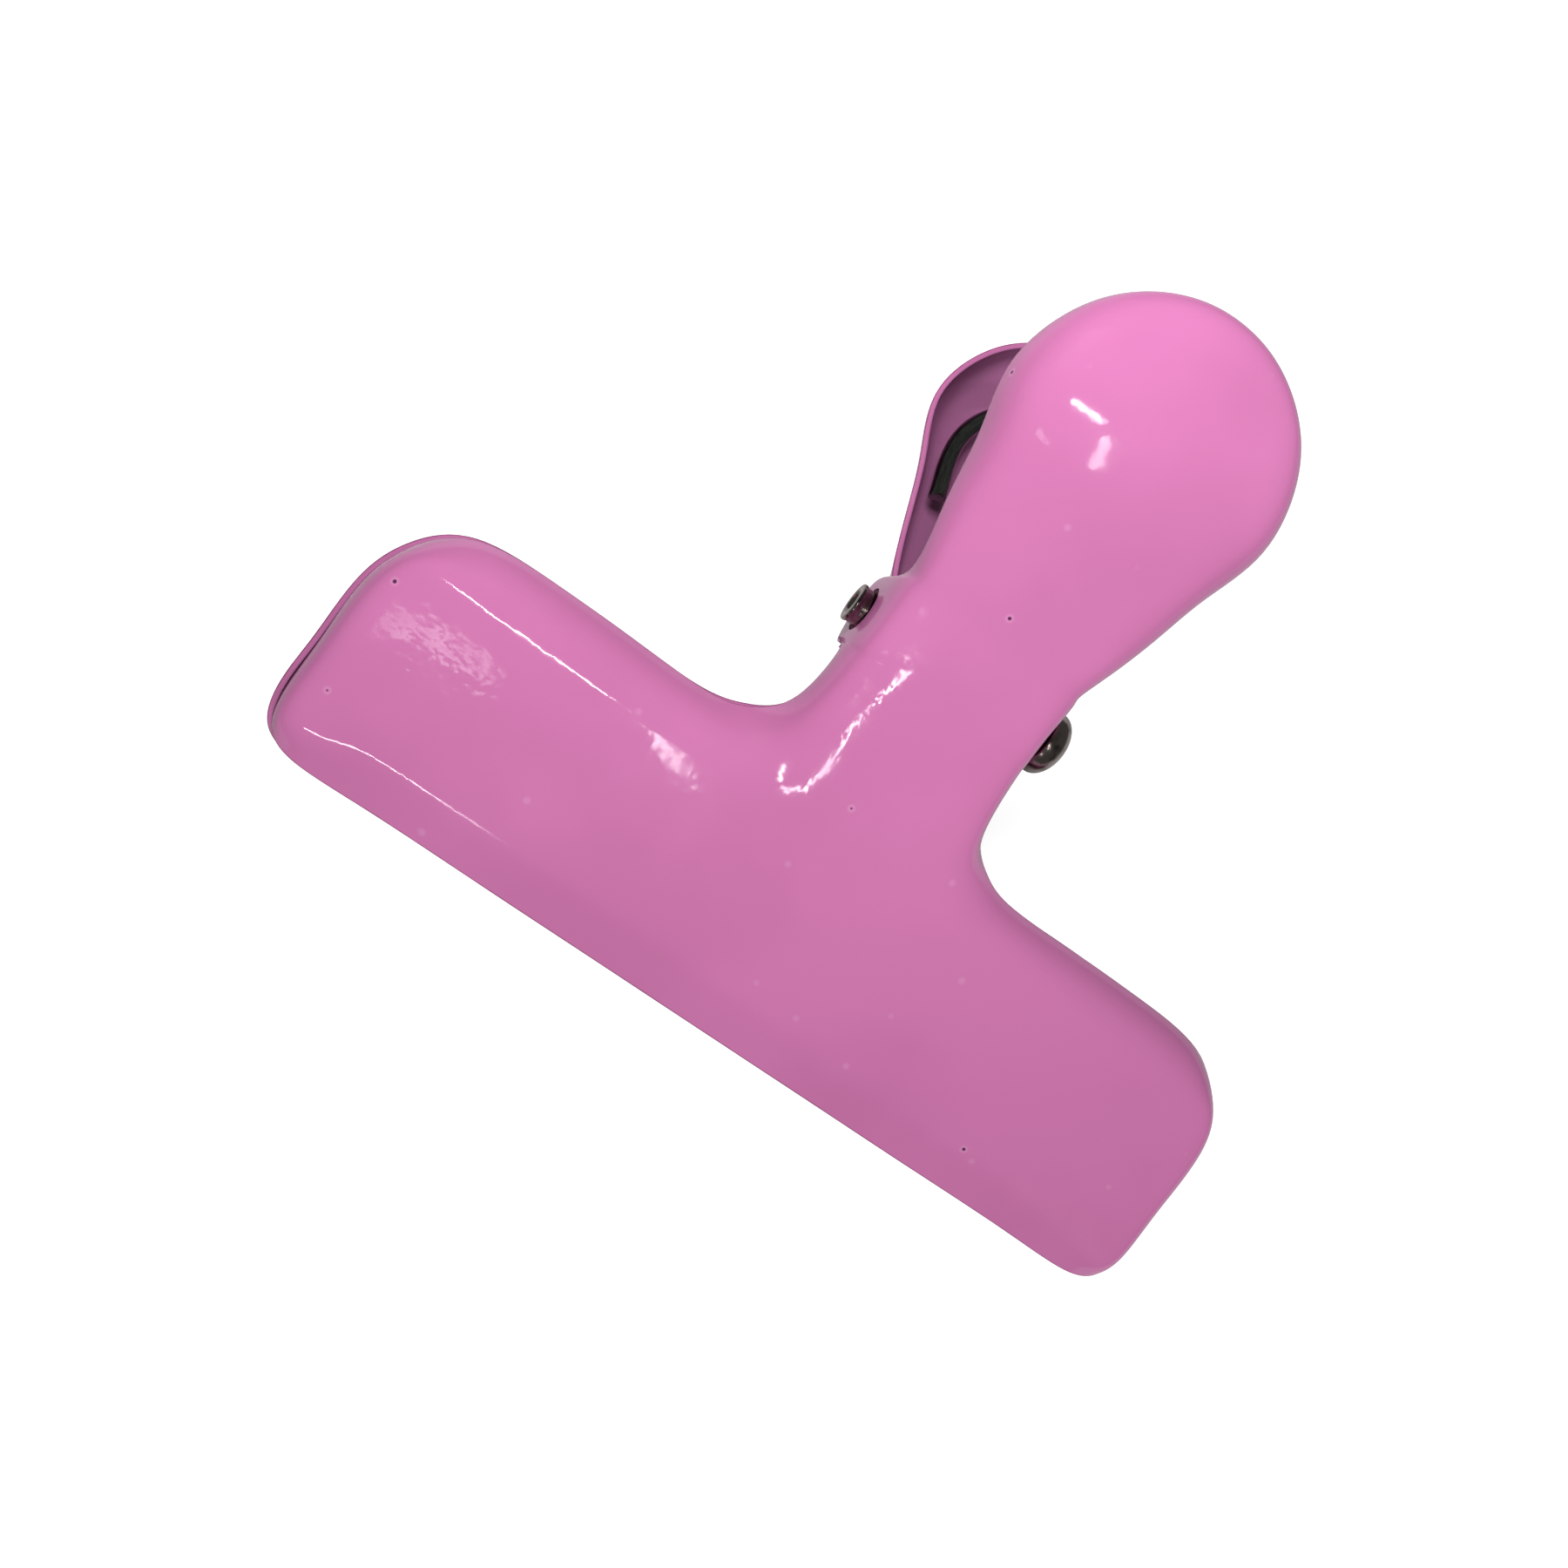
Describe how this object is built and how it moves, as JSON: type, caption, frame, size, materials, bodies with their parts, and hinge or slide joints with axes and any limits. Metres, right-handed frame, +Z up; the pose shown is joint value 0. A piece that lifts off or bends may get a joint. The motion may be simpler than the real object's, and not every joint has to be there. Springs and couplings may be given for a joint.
{
  "type": "metal grip clip",
  "caption": "T-shaped pressed steel spring clip with a wide straight jaw and round thumb handles, for closing bags and holding sheets",
  "frame": {"origin": "bottom centre of the bounding box, with the clip lying on its back shell", "axes": "+X along the jaw and the pin, towards the pin's head; +Y from the lips to the handle tips, along the surface it lies on; +Z up, from the back shell to the front shell"},
  "size_m": [0.101, 0.0828, 0.0347],
  "materials": {
    "enamel": "glossy pink baked enamel on pressed steel sheet",
    "pin_steel": "polished dark steel",
    "spring_steel": "drawn dark spring wire"
  },
  "bodies": {
    "back": {"back_shell": "enamel", "pivot_pin": "pin_steel", "torsion_spring": "spring_steel"},
    "front": {"front_shell": "enamel"}
  },
  "joints": [
    {"name": "jaw_pivot", "type": "hinge", "parent": "back", "child": "front", "pos_m": [0, -0.00009, 0.01078], "axis": [-1, 0, 0], "range_deg": [0, 36], "stiffness_Nm_per_rad": 0.85, "springref_deg": -34.38, "deforming": ["torsion_spring"]}
  ]
}
